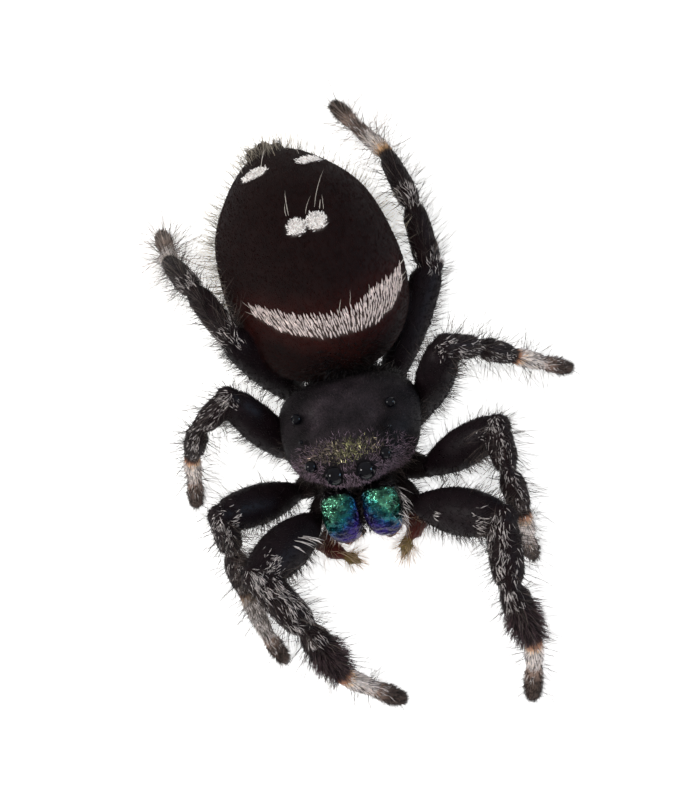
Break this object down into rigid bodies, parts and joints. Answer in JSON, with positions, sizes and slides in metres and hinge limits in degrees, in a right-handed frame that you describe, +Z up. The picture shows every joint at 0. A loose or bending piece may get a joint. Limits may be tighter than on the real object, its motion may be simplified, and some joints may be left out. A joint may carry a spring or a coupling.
{
  "type": "jumping spider figure",
  "caption": "Life-size still figure of a stout, hairy jumping spider, standing on its eight feet with its head raised and metallic green jaws.",
  "frame": {"origin": "on the floor, under the middle of the bounding box", "axes": "+Z up; the face looks along -Y; the spider's own left side is +X"},
  "size_m": [0.014, 0.0232, 0.0058],
  "materials": {
    "coat": "velvety dark brown-black hair with white hair bands and spots",
    "shell": "satin slate-black head shield with fine scales",
    "leg": "glossy black cuticle under white and black hairs",
    "foot": "pale hairs over orange-brown cuticle, with dark foot pads",
    "jaw": "metallic green, blue and violet scales",
    "fang": "glossy dark red-brown",
    "eye": "glossy black lens"
  },
  "bodies": {
    "root": {"eye_front_left": "eye", "eye_front_right": "eye", "eye_side_left": "eye", "eye_side_right": "eye", "eye_small_left": "eye", "eye_small_right": "eye", "eye_back_left": "eye", "eye_back_right": "eye", "carapace": "shell", "sternum": "leg", "chelicera_left": "jaw", "fang_left": "fang", "chelicera_right": "jaw", "fang_right": "fang", "abdomen": "coat", "pedicel": "leg", "spinnerets": "coat", "palp_left": "foot", "palp_right": "foot", "coxa_l1": "leg", "femur_l1": "leg", "patella_l1": "leg", "tibia_l1": "leg", "foot_l1": "foot", "coxa_l2": "leg", "femur_l2": "leg", "patella_l2": "leg", "tibia_l2": "leg", "foot_l2": "foot", "coxa_l3": "leg", "femur_l3": "leg", "patella_l3": "leg", "tibia_l3": "leg", "foot_l3": "foot", "coxa_l4": "leg", "femur_l4": "leg", "patella_l4": "leg", "tibia_l4": "leg", "foot_l4": "foot", "coxa_r1": "leg", "femur_r1": "leg", "patella_r1": "leg", "tibia_r1": "leg", "foot_r1": "foot", "coxa_r2": "leg", "femur_r2": "leg", "patella_r2": "leg", "tibia_r2": "leg", "foot_r2": "foot", "coxa_r3": "leg", "femur_r3": "leg", "patella_r3": "leg", "tibia_r3": "leg", "foot_r3": "foot", "coxa_r4": "leg", "femur_r4": "leg", "patella_r4": "leg", "tibia_r4": "leg", "foot_r4": "foot"}
  },
  "joints": []
}
